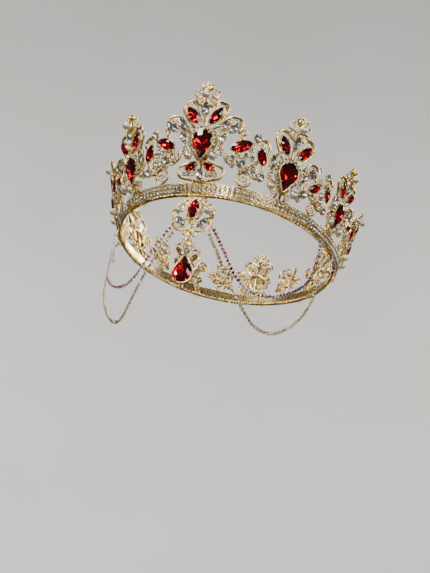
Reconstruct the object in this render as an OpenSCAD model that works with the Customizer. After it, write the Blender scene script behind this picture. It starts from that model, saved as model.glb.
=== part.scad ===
// Jewelled crown with a hinged brow ornament, a pear pendant, swagged
// rhinestone chains and side tails. Millimetres, +Z up, the wearer faces -Y.
// The origin is the centre of the head opening, level with the band's lower edge.

/* [Band] */
// Width of the head opening at the band's lower edge, ear to ear
band_width = 151; // [146:1:158]
// Length of the head opening at the band's lower edge, brow to nape
band_length = 176; // [168:1:186]
// Radius of the band's front and back arcs
band_end_r = 68; // [66:1:70]
// Outward lean of the crown's wall, in degrees
flare = 16.4; // [14:0.1:19]
// Height of the hoop that carries the two rows of rhinestones
band_h = 8.2; // [8:0.1:9]
// Thickness of the hoop
hoop_t = 1.6; // [1.4:0.1:1.6]
// Radius of the braid along the lower edge
braid_r = 1.3; // [1.1:0.1:1.3]
// Number of rhinestones in each row of the band
row_stones = 172; // [168:1:172]

/* [Peaks] */
// Number of peaks around the crown
peak_count = 10; // [10:1:10]
// Height of the centre of the front peak's pear stone above the band
front_rise = 27.1; // [27:0.1:28]
// Height of the centre of every other peak's pear stone above the band
side_rise = 17.8; // [17.6:0.1:18.5]
// Size of the smallest peak, at the back, as a share of the front peak
back_scale = 0.76; // [0.74:0.01:0.8]
// Radius of the main filigree wire
wire_r = 0.7; // [0.6:0.05:0.75]

/* [Stones] */
// Width of the large pear stones
pear_w = 13.5; // [13:0.5:13.5]
// Length of the large pear stones
pear_l = 19.5; // [18.5:0.5:19.5]
// Radius of the pearls
pearl_r = 2.8; // [2.4:0.1:2.8]
// Depth of the flat-backed stones above their cups
stone_t = 2.3; // [1.8:0.1:2.6]

/* [Brow ornament] */
// Distance of the hinge pin in front of the band's lower edge
pin_out = 3.2; // [3.1:0.1:3.6]
// Distance of the hinge pin below the band's lower edge
pin_drop = 1.2; // [1.2:0.1:1.6]
// Radius of the hinge pins
pin_r = 0.45; // [0.4:0.05:0.5]
// Running clearance between a pin and its eyelet
pin_gap = 0.05; // [0.03:0.01:0.08]
// Radius of the open ring that the pendant hangs from
ring_r = 2.2; // [2.1:0.1:2.4]

/* [Chains and tails] */
// Width of the swagged rhinestone chains
chain_w = 2.6; // [2.2:0.1:2.6]
// Distance of the swags outside the line of the band's lower edge
swag_out = 2.5; // [2.5:0.1:3]
// Distance of each side tail from the front centre, measured along the band
tail_place = 115; // [114:1:118]
// Length of the side tails below their pins
tail_l = 15; // [12:1:17]

/* [Hidden] */
$fn = 48;
// The head opening is an oval of four arcs that meet without a corner.
half_w = band_width / 2;
half_l = band_length / 2;
end_c = half_l - band_end_r;
side_r = (end_c * end_c + half_w * half_w - band_end_r * band_end_r) / (2 * (half_w - band_end_r));
side_c = side_r - half_w;
meet = atan2(side_c, end_c);
end_len = band_end_r * meet * PI / 180;
side_len = side_r * (180 - 2 * meet) * PI / 180;
around = 4 * end_len + 2 * side_len;

// Layers outward from the mid surface of the wall: wires, then cups, then stones.
rim_r = 0.6;
rim_h = band_h + rim_r;
rim_top = rim_h + rim_r;
braid_top = 2.1;
seam_gap = 0.02;
cup_z = 0.75;
cup_floor = 0.5;
cup_h = 1.45;
cup_wall = 0.45;
fit_gap = 0.05;
stone_z = cup_z + cup_floor;

// The two rows of rhinestones on the hoop.
row_h = [3.9, 6.7];
strip_t = 1;
row_stone_r = 1.2;
row_pitch = around / row_stones;

peak_pitch = around / peak_count;
half_count = peak_count / 2;
places = ["front", "front_right", "right", "rear_right", "back_right",
          "back", "back_left", "rear_left", "left", "front_left"];
peak_scales = [1, 1, 0.88, 0.82, 0.79, back_scale];
link_scales = [1, 0.88, 0.82, 0.79, back_scale];

// A pear outline is a circle with two straight sides that meet in a tip.
pear_r = pear_w / 2;
pear_tip = pear_l - pear_r;
pear_half = asin(pear_r / pear_tip);
halo_w = 3.1;
halo_cut = pear_tip + 0.6;

// The pendant hangs from an eyelet through an open ring to a second eyelet.
link_w = 0.4;
eyelet_r = 1.4;
rest_gap = 2 * link_w + pin_gap;
ornament_eye = -29.6;
ring_hinge = ornament_eye - eyelet_r;
ring_c = ring_hinge - (ring_r - rest_gap);
drop_hinge = ring_c - ring_r;
drop_eye = drop_hinge - (eyelet_r - rest_gap);
drop_stone_y = drop_hinge - 19.4;
// The pendant's stone is a peak's pear stone made smaller by this margin all round.
drop_less = 0.5;

// Swag routes: distance along the band from the front centre, then height.
swag_short_route = [[13.5, -22.5], [16, -26.5], [19, -31.5], [22.5, -37], [26, -43], [30, -49], [34.5, -53.5],
                    [39.5, -56.5], [45, -58], [51, -58], [57, -56.5], [63, -54], [69, -50.5], [75, -46],
                    [81, -40.5], [86, -34], [90, -26.5], [92.5, -19], [94, -11.5], [94.5, -3.5]];
swag_long_route = [[11.6, -25.8], [13.4, -30], [16.5, -35], [20, -41.5], [23.5, -48], [28, -55], [33, -61.5],
                   [39, -67.5], [45, -72], [51, -75.5], [57.5, -77], [64, -77], [70, -75.5], [76, -72],
                   [81.5, -67], [86.5, -60.5], [90.5, -53], [94, -45], [96.5, -37], [98, -28.5], [98.5, -20],
                   [98.5, -11.5], [98, -3.5]];

// The head that the swags lie on is upright down to this height, and narrows below it.
narrow_z = -40;
narrow_rate = 0.0066;

gold = "goldenrod";
pale_gold = "palegoldenrod";
silver = "silver";
ruby = "crimson";
crystal = "aliceblue";
pearl = "ivory";

// ---- Places on the crown's wall ----

// Heading of the wall's outward normal, from -Y towards +X, at a distance along the band.
function turn(s) =
  s > around / 2 ? -turn(around - s) :
  s < 0 ? -turn(-s) :
  s <= end_len ? s / end_len * meet :
  s <= end_len + side_len ? meet + (s - end_len) / side_r * 180 / PI :
  180 - meet + (s - end_len - side_len) / band_end_r * 180 / PI;

// Centre of the arc that carries a heading, and that arc's radius.
function arc_c(t) =
  abs(t) <= meet ? [0, -end_c] :
  abs(t) >= 180 - meet ? [0, end_c] :
  [-sign(t) * side_c, 0];
function arc_r(t) = abs(t) <= meet || abs(t) >= 180 - meet ? band_end_r : side_r;

// Point on the band's lower edge, moved outward in the horizontal plane.
function edge_point(s, out = 0) =
  let (t = turn(s), r = arc_r(t) + out)
  [arc_c(t)[0] + r * sin(t), arc_c(t)[1] - r * cos(t)];

// Point below the band, on the surface that the swags lie on.
function below(s, z, out) =
  let (p = edge_point(s, out - narrow_rate * pow(min(0, z - narrow_z), 2)))
  [p[0], p[1], z];

// Horizontal frame on the band's lower edge: x along the band, y inward.
module at_edge(s) {
  p = edge_point(s);
  translate([p[0], p[1], 0]) rotate([0, 0, turn(s)]) children();
}

// Frame in the leaning wall: x along the band, y up the wall, z outward.
module on_wall(s) {
  at_edge(s) rotate([90 + flare, 0, 0]) children();
}

// Frame of a peak at its pear stone; x points away from the front on both sides.
function peak_rank(i) = min(i, peak_count - i);
function peak_rise(i) = i == 0 ? front_rise : side_rise;
module on_peak(i) {
  k = peak_scales[peak_rank(i)];
  on_wall(i * peak_pitch) mirror([i > half_count ? 1 : 0, 0, 0])
    translate([0, rim_top + k * peak_rise(i), 0]) scale(k) children();
}

// Frame of the link between two peaks at the rim; x points towards the front.
function link_rank(j) = min(j, peak_count - 1 - j);
module on_link(j) {
  on_wall((j + 0.5) * peak_pitch) mirror([j < half_count ? 1 : 0, 0, 0])
    translate([0, rim_top, 0]) scale(link_scales[link_rank(j)]) children();
}

// Sweeps a flat profile around the leaning hoop: x outward, y up the wall.
// The four arcs are butted end to end, with a hair's gap at each seam.
module swept_arc(r, from, angle) {
  gap = seam_gap / 2 / r * 180 / PI;
  rotate([0, 0, from + gap]) rotate_extrude(angle = angle - 2 * gap) translate([r, 0]) rotate(-flare) children();
}

module around_band() {
  for (half = [0, 180]) rotate([0, 0, half]) {
    translate([0, -end_c, 0]) swept_arc(band_end_r, -90 - meet, 2 * meet) children();
    translate([-side_c, 0, 0]) swept_arc(side_r, meet - 90, 180 - 2 * meet) children();
  }
}

// ---- Wires, cups and stones ----

// Flat strip bent to an arc about a point of the plane; w is half its width.
module arc_strip(c, r, from = 0, to = 360, w = wire_r) {
  steps = ceil((to - from) / 60);
  reach = 2 * (r + w);
  translate(c) intersection() {
    difference() {
      circle(r + w);
      circle(r - w);
    }
    if (to - from < 360) polygon(concat([[0, 0]],
      [for (k = [0:steps]) let (a = from + (to - from) * k / steps) reach * [cos(a), sin(a)]]));
  }
}

// Flat straight strip between two points of the plane.
module bar(p, q, w = wire_r) {
  d = q - p;
  translate(p) rotate(atan2(d[1], d[0])) translate([0, -w]) square([norm(d), 2 * w]);
}

module dot(c, r) {
  translate(c) circle(r);
}

// Straight round wire between two points in space.
module rod(p, q, w) {
  d = q - p;
  translate(p) rotate([0, acos(d[2] / norm(d)), atan2(d[1], d[0])]) cylinder(h = norm(d), r = w);
}

// Pointed oval, long axis along y.
module navette(l, w, h) {
  r = (l * l + w * w) / (4 * w);
  intersection() {
    translate([r - w / 2, 0, 0]) cylinder(h = h, r = r, $fn = 96);
    translate([w / 2 - r, 0, 0]) cylinder(h = h, r = r, $fn = 96);
  }
}

// Pear outline with its tip towards -y, grown outward by an even margin.
module pear_outline(grow = 0) {
  r = pear_r + grow;
  circle(r, $fn = 96);
  polygon([[-r * cos(pear_half), -r * sin(pear_half)], [0, -r / sin(pear_half)],
           [r * cos(pear_half), -r * sin(pear_half)]]);
}

module pear(grow, h) {
  linear_extrude(h) pear_outline(grow);
}

// Open cup with a floor, for a navette of a given length and width.
module navette_cup(l, w) {
  translate([0, 0, cup_z]) difference() {
    navette(l + 2 * cup_wall, w + 2 * cup_wall, cup_h);
    translate([0, 0, cup_floor]) navette(l + 2 * fit_gap, w + 2 * fit_gap, cup_h);
  }
}

module navette_stone(l, w) {
  translate([0, 0, stone_z]) navette(l, w, stone_t);
}

module round_cup(r) {
  translate([0, 0, cup_z]) difference() {
    cylinder(h = cup_h, r = r + cup_wall);
    translate([0, 0, cup_floor]) cylinder(h = cup_h, r = r + fit_gap);
  }
}

module round_stone(r) {
  translate([0, 0, stone_z]) cylinder(h = stone_t, r = r);
}

module small_stone(r, h) {
  cylinder(h = h, r = r);
}

module pearl_dish() {
  translate([0, 0, cup_z]) cylinder(h = cup_floor, r = 1.6);
}

module pearl_bead(r = pearl_r) {
  translate([0, 0, stone_z + r]) sphere(r);
}

// Puts children at a row [x, y, lean]; a positive lean tips the top towards +x.
module set_at(row) {
  translate([row[0], row[1], 0]) rotate([0, 0, -row[2]]) children();
}

// ---- What each peak and link carries ----

// Red navettes of a peak: [x, y, lean, length, width].
function peak_reds(i) = concat(
  [for (m = [-1, 1]) [m * 7.6, 16.2, m * 36, 13.5, 6.4]],
  i == 0 ? [for (m = [-1, 1]) [m * 5.9, -17.1, m * 118, 9.5, 4.8]] : []);

function peak_clears(i) = concat(
  [[0, 20.6, 0, 10, 5]],
  i == 0 ?
    concat([[0, -22.3, 0, 8.5, 4.4]],
           [for (m = [-1, 1]) [m * 14.2, 10.2, m * 33, 10, 4.6]],
           [for (m = [-1, 1]) [m * 21, 8.6, m * 46, 10, 4.6]],
           [for (m = [-1, 1]) [m * 13.2, 1.6, m * 25, 8, 3.8]]) :
    [[-12.6, 3.3, -12, 9, 4.2], [12.4, 0.6, 20, 7, 3.4]]);

// Round clear stones of a peak: [x, y, radius].
function peak_rounds(i) = i == 0 ?
  concat([for (m = [-1, 1], x = [4.6, 7.5, 10.4]) [m * x, -22.4, 1.15]],
         [for (m = [-1, 1]) each [[m * 9.4, 9.7, 1.1], [m * 11.6, -4.9, 1.3], [m * 12.6, -8.2, 1.2]]]) :
  concat([[17.7, 6.2, 3], [14.6, -8.8, 2.6], [-11.9, -4.9, 1.4], [10.6, -5.6, 1.2],
          [12.2, -13.7, 1.2], [12, 7.4, 1.3], [-9.4, 10, 1.2]],
         [for (m = [-1, 1]) [m * 3.5, -15.6, 1.2]]);

// Pearls of a peak: [x, y].
function peak_pearls(i) = concat(
  [[0, 29.9]],
  i == 0 ? [[-8.3, -10.6], [8.3, -10.6]] : [[-10.4, -12.3], [7.5, -12.2]]);

// The same for a link; beyond the front ones the slanting navette sits lower, under the next peak's wing.
function link_reds(j) = concat(
  link_rank(j) == 0 ? [[4.6, 26, -64, 15, 7]] : [[5.4, 19.6, -64, 13, 6.2]],
  [[-9.4, 21.8, 20, 12, 6]]);

function link_rounds(j) = concat(
  link_rank(j) == 0 ?
    [[3.4, 15.2, 3], [-3.1, 19.6, 1.6], [9.4, 17, 1.8], [-2.2, 24.4, 1.3], [0.7, 20.6, 1.2], [8.4, 12.3, 1.2],
     [13, 15.2, 1.2], [2.8, 10, 1.1]] :
    [[5, 12.4, 2.5], [-3.1, 18.6, 1.6], [-3.4, 25.6, 1.3]],
  [[-4.7, 33.4, 2.4], [-10.7, 8.7, 2.6], [-4.6, 14.2, 1.7], [-5.9, 10.3, 1.5], [-1, 11.6, 1.1]]);

// Seats of the small stones around a pear: an even walk over the arc and down both sides.
halo_path = pear_r + 2.1;
halo_stone_r = 1.12;
halo_arc = [for (a = [-34:17.2:215]) [halo_path * cos(a), halo_path * sin(a)]];
halo_sides = [for (m = [-1, 1], d = [2.4, 4.9])
  [m * (halo_path * cos(pear_half) - d * sin(pear_half)), -halo_path * sin(pear_half) - d * cos(pear_half)]];
halo_seats = concat(halo_arc, halo_sides);

// ---- Band ----

// Eight-sided outline that stands on a flat side.
module octagon(r) {
  rotate(22.5) circle(r / cos(22.5), $fn = 8);
}

module hoop() {
  color(gold) around_band() translate([-hoop_t / 2, braid_top]) square([hoop_t, band_h - braid_top]);
}

module lower_braid() {
  color(gold) around_band() translate([0.2, braid_top - braid_r]) octagon(braid_r);
}

module upper_rim_wire() {
  color(gold) around_band() translate([0, rim_h]) octagon(rim_r);
}

module cup_strip(row) {
  color(gold) around_band() translate([hoop_t / 2, row_h[row] - 1.35]) square([strip_t, 2.7]);
}

module row_stones(row) {
  color(crystal) for (i = [0:row_stones - 1])
    on_wall((i + 0.5) * row_pitch) translate([0, row_h[row], hoop_t / 2 + strip_t])
      small_stone(row_stone_r, 0.8);
}

// Turns of wire around the whole band beside the foot of every peak.
module binding_wire() {
  turn_w = 0.4;
  color(gold) for (i = [0:peak_count - 1], k = [-3, -2, 2, 3])
    on_wall((round(i * peak_pitch / row_pitch) + k) * row_pitch) rotate([0, -90, 0])
      linear_extrude(turn_w, center = true) difference() {
        translate([-1.75, -1.05]) square([4.05, 10.95]);
        translate([-1.75 + turn_w, -1.05 + turn_w]) square([4.05 - 2 * turn_w, 10.95 - 2 * turn_w]);
      }
}

// ---- Peaks and links ----

// Gives a flat outline its thickness, half of it on each side of the wall's mid surface.
module filigree_plate(half_t) {
  linear_extrude(2 * half_t, center = true) children();
}

// Looped arch beside the pear stone, with a leg that runs in behind the halo.
module wing(c, r) {
  leg = c + r * [cos(150), sin(150)];
  arc_strip(c, r, -50, 150);
  dot(leg, wire_r);
  bar(leg, leg - [cos(60), sin(60)] * 13.2);
}

// Spreading gold outline under the front peak's lower stones.
module fan_frame() {
  for (m = [-1, 1]) {
    arc_strip([m * 10.6, -20.6], 4.4, m > 0 ? -80 : 105, m > 0 ? 75 : 260);
    bar([m * 11.7, -16.4], [m * 1.2, -13.2]);
    bar([m * 11.4, -24.9], [0, -26.4]);
    bar([m * 4, -25.9], [m * 4, -front_rise]);
  }
}

module side_feet() {
  for (m = [-1, 1]) bar([m * 3.6, -10.8], [m * 3.6, -side_rise]);
  bar([-12.6, -6.5], [-4.6, -8.5]);
  bar([4.6, -8.5], [14.6, -8.8]);
}

module peak_filigree(i) {
  color(gold) on_peak(i) filigree_plate(wire_r) {
    bar([0, -peak_rise(i)], [0, 35.4]);
    // Strip around the back of the pear setting.
    arc_strip([0, 0], pear_r + 1.7, -34, 214);
    for (m = [-1, 1]) {
      bar([m * 6.8, -4.6], [0, -14.4]);
      // Heart loop, its long side and its link to the stem.
      arc_strip([m * 9.3, 20.5], 5.4, m > 0 ? -40 : 50, m > 0 ? 130 : 220);
      bar([m * 13.4, 17], [m * 5.1, 7.1]);
      bar([m * 5.8, 24.6], [0, 22.6]);
      dot([m * 7, 27], 1.1);
      arc_strip([m * 5.7, 31], 2.5, w = 0.55);
      dot([m * 3, 36.4], 1.4);
    }
    bar([-5.2, 28.4], [5.2, 28.4], 0.5);
    bar([-2.6, 35.6], [2.6, 35.6], 0.6);
    dot([0, 37.6], 1.7);
    if (i == 0) {
      for (m = [0, 1]) mirror([m, 0]) wing([19.2, 10.2], 5.8);
      fan_frame();
    } else {
      wing([17.6, 7], 5.2);
      side_feet();
    }
  }
}

module link_filigree(j) {
  color(gold) on_link(j) filigree_plate(wire_r) {
    // Scroll on the rim.
    arc_strip([-0.6, 5.5], 4.9, w = 0.6);
    arc_strip([-0.6, 4], 2.7, -70, 190, 0.5);
    arc_strip([-1.9, 3.6], 1.3, 150, 330, 0.5);
    // Stems up to the two red navettes.
    bar([-0.6, 10.4], [3.4, 15.2]);
    bar([3.4, 15.2], [4.6, 34]);
    bar([-0.6, 10.4], [-9.4, 21.8]);
    bar([-10.7, 8.7], [-9.4, 21.8]);
    bar([-5, 7.6], [-10.7, 8.7]);
    arc_strip([4.5, 35], 1.7, w = 0.55);
    // Arch over the upright navette, with its two legs.
    arc_strip([-8.8, 28], 5, -20, 200);
    bar([-13.5, 26.3], [-9.4, 16.5]);
    bar([-4.1, 26.3], [4, 25]);
    // Curl that reaches towards the front.
    arc_strip([9.4, 18.8], 5.6, 195, 340, 0.55);
  }
}

module pear_settings() {
  color(gold) for (i = [0:peak_count - 1]) on_peak(i) translate([0, 0, cup_z]) {
    difference() {
      pear(0.9, cup_h + 0.9);
      translate([0, 0, cup_floor]) pear(fit_gap, 4);
    }
    difference() {
      intersection() {
        pear(halo_w, cup_floor);
        translate([-20, -halo_cut, 0]) cube([40, 40, 3]);
      }
      translate([0, 0, -1]) pear(0.5, 4);
    }
  }
}

module pear_stones() {
  color(ruby) for (i = [0:peak_count - 1]) on_peak(i) translate([0, 0, stone_z]) pear(0, 3.6);
}

module halo_stones() {
  color(crystal) for (i = [0:peak_count - 1], seat = halo_seats)
    on_peak(i) translate([seat[0], seat[1], stone_z]) small_stone(halo_stone_r, 1.3);
}

module navette_settings() {
  color(gold) {
    for (i = [0:peak_count - 1], n = concat(peak_reds(i), peak_clears(i)))
      on_peak(i) set_at(n) navette_cup(n[3], n[4]);
    for (j = [0:peak_count - 1], n = link_reds(j)) on_link(j) set_at(n) navette_cup(n[3], n[4]);
  }
}

module red_navettes() {
  color(ruby) {
    for (i = [0:peak_count - 1], n = peak_reds(i)) on_peak(i) set_at(n) navette_stone(n[3], n[4]);
    for (j = [0:peak_count - 1], n = link_reds(j)) on_link(j) set_at(n) navette_stone(n[3], n[4]);
  }
}

module clear_navettes() {
  color(crystal) for (i = [0:peak_count - 1], n = peak_clears(i))
    on_peak(i) set_at(n) navette_stone(n[3], n[4]);
}

module round_settings() {
  color(gold) {
    for (i = [0:peak_count - 1]) on_peak(i) {
      for (n = peak_rounds(i)) translate([n[0], n[1], 0]) round_cup(n[2]);
      for (n = peak_pearls(i)) translate([n[0], n[1], 0]) pearl_dish();
    }
    for (j = [0:peak_count - 1], n = link_rounds(j)) on_link(j) translate([n[0], n[1], 0]) round_cup(n[2]);
  }
}

module clear_round_stones() {
  color(crystal) {
    for (i = [0:peak_count - 1], n = peak_rounds(i)) on_peak(i) translate([n[0], n[1], 0]) round_stone(n[2]);
    for (j = [0:peak_count - 1], n = link_rounds(j)) on_link(j) translate([n[0], n[1], 0]) round_stone(n[2]);
  }
}

module pearls() {
  color(pearl) for (i = [0:peak_count - 1], n = peak_pearls(i))
    on_peak(i) translate([n[0], n[1], 0]) pearl_bead();
}

// ---- Hinge pins ----

// Wire staple: a straight pin in front of the lower edge, with two arms that
// pass under the braid and lie up the inside of the hoop.
module hanger(s, half) {
  inner = -hoop_t / 2 - 1.5;
  low = [-inner * cos(flare) + (pin_drop + inner * sin(flare)) * tan(flare), -pin_drop];
  high = [-inner * cos(flare) - 6 * sin(flare), 6 * cos(flare) - inner * sin(flare)];
  at_edge(s) {
    rod([-half, -pin_out, -pin_drop], [half, -pin_out, -pin_drop], pin_r);
    for (m = [-half, half]) {
      translate([m, -pin_out, -pin_drop]) sphere(pin_r);
      rod([m, -pin_out, -pin_drop], [m, low[0], low[1]], pin_r);
      translate([m, low[0], low[1]]) sphere(pin_r);
      rod([m, low[0], low[1]], [m, high[0], high[1]], pin_r);
    }
  }
}

module ornament_hanger() {
  color(gold) hanger(0, 5);
}

module tail_hangers() {
  color(gold) for (m = [-1, 1]) hanger(m * tail_place, 1.7);
}

// Tube that turns on a pin lying along x.
module pin_eye(l, r = 1.1) {
  rotate([0, 90, 0]) difference() {
    cylinder(h = l, r = r, center = true);
    cylinder(h = l + 2, r = pin_r + pin_gap, center = true);
  }
}

// ---- Brow ornament ----

// Frame of the hanging pieces: x along the pin, y up, z to the front.
module on_pin() {
  translate([0, -half_l - pin_out, -pin_drop]) rotate([90, 0, 0]) children();
}

ornament_z = -0.6;
ornament_wire = 0.5;
mark_l = 16.6;
mark_w = 10;
mark_y = -9.9;
red_l = 14;
red_w = 7;
ornament_clears = [for (m = [-1, 1]) [m * 7.4, -19, m * 45, 9, 4.8]];
ornament_pearl_seats = [for (m = [-1, 1]) [m * 10, -11.4]];

module ornament_filigree() {
  mark_r = (mark_l * mark_l + mark_w * mark_w) / (4 * mark_w);
  mark_a = asin(mark_l / 2 / mark_r);
  w = ornament_wire;
  color(gold) on_pin() {
    for (m = [-1, 1]) translate([m * 3.2, 0, 0]) pin_eye(1.4);
    translate([0, 0, ornament_z]) filigree_plate(w) {
      for (m = [0, 1]) mirror([m, 0]) {
        // Half of the pointed-oval frame behind the red stone.
        arc_strip([mark_w / 2 - mark_r, mark_y], mark_r, -mark_a, mark_a, w);
        // Scalloped edge of loops.
        arc_strip([3.4, -2.7], 1.4, w = w);
        arc_strip([6.2, -4.6], 1.5, w = w);
        arc_strip([9.2, -7], 1.7, w = w);
        arc_strip([11.8, -10.9], 2, w = w);
        arc_strip([12.3, -14], 1.1, w = w);
        arc_strip([11, -16.9], 1.9, w = w);
        arc_strip([6.8, -19.2], 5.4, -118, 20, w);
        arc_strip([2.8, -26], 1.9, w = w);
        bar([4.2, -9.5], [10, -11.4], w);
        bar([0.6, -15.8], [9.6, -17], w);
        bar([4.2, -9.5], [9.2, -8], w);
        bar([3.2, -2], [3.2, -0.6], 0.4);
        dot([7.7, -5.8], 0.8);
        dot([10.6, -9], 0.8);
      }
      bar([0, -16.6], [0, -28], w);
      arc_strip([0, -23.2], 1.3, w = w);
    }
    // Eyelet for the pendant's ring, edge on to the front.
    translate([0, ornament_eye, 0]) rotate([0, 90, 0]) rotate_extrude() translate([eyelet_r, 0]) circle(link_w);
    rod([0, -27.2, ornament_z], [0, -28.2, 0], link_w);
  }
}

ornament_cup_z = ornament_z + ornament_wire + 0.05;

// Moves the shared cup layer down to the ornament's own wires.
module on_ornament_wires() {
  on_pin() translate([0, 0, ornament_cup_z - cup_z]) children();
}

// Seats of the tiny stones around the red navette.
halo_l = 16;
halo_ww = 9.6;
mark_halo_r = (halo_l * halo_l + halo_ww * halo_ww) / (4 * halo_ww);
mark_seats = [for (m = [-1, 1], a = [-46:9.2:46])
  [m * (halo_ww / 2 - mark_halo_r + mark_halo_r * cos(a)), mark_y + mark_halo_r * sin(a)]];

module ornament_settings() {
  color(gold) on_ornament_wires() {
    translate([0, mark_y, 0]) {
      navette_cup(red_l, red_w);
      translate([0, 0, cup_z]) difference() {
        navette(mark_l + 1.4, mark_w + 1.2, cup_floor);
        translate([0, 0, -1]) navette(red_l + 0.4, red_w + 0.4, 4);
      }
    }
    for (n = ornament_clears) set_at(n) navette_cup(n[3], n[4]);
    for (n = ornament_pearl_seats) translate([n[0], n[1], 0]) pearl_dish();
  }
}

module ornament_red_stone() {
  color(ruby) on_ornament_wires() translate([0, mark_y, 0]) navette_stone(red_l, red_w);
}

module ornament_clear_stones() {
  color(crystal) on_ornament_wires() for (n = ornament_clears) set_at(n) navette_stone(n[3], n[4]);
}

module ornament_halo_stones() {
  color(crystal) on_ornament_wires() for (seat = mark_seats)
    translate([seat[0], seat[1], stone_z]) small_stone(0.64, 1.1);
}

module ornament_pearls() {
  color(pearl) on_ornament_wires() for (n = ornament_pearl_seats) translate([n[0], n[1], 0]) pearl_bead(2.4);
}

// ---- Pendant ----

module drop_ring() {
  color(gold) on_pin() translate([0, ring_c, 0]) rotate_extrude() translate([ring_r, 0]) circle(link_w);
}

bail_seats = [[0, -3.5], [-1.45, -5.4], [1.45, -5.4]];
bail_t = 1;

module drop_bail() {
  color(gold) on_pin() {
    translate([0, drop_eye, 0]) rotate([0, 90, 0]) rotate_extrude() translate([eyelet_r, 0]) circle(link_w);
    for (n = bail_seats) translate([n[0], drop_hinge + n[1], -bail_t / 2]) cylinder(h = bail_t, r = 1.45);
    translate([-0.5, drop_stone_y + (pear_r + 0.9 - drop_less) / sin(pear_half), -bail_t / 2])
      cube([1, 2.5, bail_t]);
  }
}

module drop_bail_stones() {
  color(crystal) on_pin() for (n = bail_seats)
    translate([n[0], drop_hinge + n[1], bail_t / 2]) small_stone(1.2, 1.1);
}

// Frame of the pendant's stone, tip upward.
module on_drop() {
  on_pin() translate([0, drop_stone_y, 0]) rotate([0, 0, 180]) children();
}

// The pendant's stone stands in a rim that is open at the back.
module drop_setting() {
  color(gold) on_drop() translate([0, 0, -1.6]) difference() {
    pear(0.9 - drop_less, 2.4);
    translate([0, 0, -1]) pear(-0.7 - drop_less, 5);
    translate([0, 0, 0.6]) pear(fit_gap - drop_less, 5);
  }
}

module drop_stone() {
  color(ruby) on_drop() translate([0, 0, -1]) pear(-drop_less, 4.4);
}

// ---- Swags ----

// Sweeps an eight-sided tube along a route of points.
module tube(route, r) {
  n = len(route);
  rings = [for (i = [0:n - 1])
    let (a = route[max(i - 1, 0)], b = route[min(i + 1, n - 1)], t = (b - a) / norm(b - a),
         o = [route[i][0], route[i][1], 0] / norm([route[i][0], route[i][1]]),
         u = cross(t, o) / norm(cross(t, o)), v = cross(u, t))
    for (k = [0:7]) route[i] + r * (cos(45 * k) * u + sin(45 * k) * v)];
  sides = [for (i = [0:n - 2], k = [0:7])
    let (a = 8 * i + k, b = 8 * i + (k + 1) % 8) each [[a, b, a + 8], [b, b + 8, a + 8]]];
  caps = [for (k = [1:6]) each [[0, k + 1, k], [8 * n - 8, 8 * n - 8 + k, 8 * n - 7 + k]]];
  polyhedron(rings, concat(sides, caps));
}

// The left swags mirror the right ones.
module swag(route, metal, left) {
  color(metal) mirror([left ? 1 : 0, 0, 0])
    tube([for (p = route) below(p[0], p[1], swag_out)], chain_w / 2);
}

module swag_short_right() { swag(swag_short_route, silver, false); }
module swag_long_right() { swag(swag_long_route, pale_gold, false); }
module swag_short_left() { swag(swag_short_route, silver, true); }
module swag_long_left() { swag(swag_long_route, pale_gold, true); }

// ---- Side tails ----

// Frame of a side tail: x along its pin, y up, z outward.
module on_tail(m) {
  at_edge(m * tail_place) translate([0, -pin_out, -pin_drop]) rotate([90, 0, 0]) children();
}

tail_t = 1;
tail_stone_count = 5;

module tail_strip(m) {
  color(silver) on_tail(m) {
    pin_eye(1);
    translate([-chain_w / 2, -tail_l + 1.6, -tail_t / 2]) cube([chain_w, tail_l - 2.5, tail_t]);
    translate([0, -tail_l + 1.6, -tail_t / 2]) cylinder(h = tail_t, r = 1.9);
  }
}

module tail_stones(m) {
  pitch = (tail_l - 4.8) / tail_stone_count;
  color(ruby) on_tail(m) {
    for (k = [0:tail_stone_count - 1])
      translate([0, -1.8 - (k + 0.2) * pitch, tail_t / 2]) small_stone(0.9, 0.9);
    translate([0, -tail_l + 1.6, tail_t / 2]) small_stone(1.6, 1.2);
  }
}

module tail_strip_right() { tail_strip(1); }
module tail_stones_right() { tail_stones(1); }
module tail_strip_left() { tail_strip(-1); }
module tail_stones_left() { tail_stones(-1); }

// ---- Nodes ----

hoop();
lower_braid();
upper_rim_wire();
cup_strip(0);  // lower_cup_strip
cup_strip(1);  // upper_cup_strip
row_stones(0);  // lower_row_stones
row_stones(1);  // upper_row_stones
binding_wire();
for (i = [0:peak_count - 1]) {
  peak_filigree(i);
  link_filigree(i);
}
pear_settings();
pear_stones();
halo_stones();
navette_settings();
red_navettes();
clear_navettes();
round_settings();
clear_round_stones();
pearls();
ornament_hanger();
tail_hangers();
ornament_filigree();
ornament_settings();
ornament_red_stone();
ornament_clear_stones();
ornament_halo_stones();
ornament_pearls();
drop_ring();
drop_bail();
drop_bail_stones();
drop_setting();
drop_stone();
swag_short_right();
swag_long_right();
swag_short_left();
swag_long_left();
tail_strip_right();
tail_stones_right();
tail_strip_left();
tail_stones_left();
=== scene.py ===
import math

import bpy
import numpy as np
from mathutils import Matrix, Vector


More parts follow.
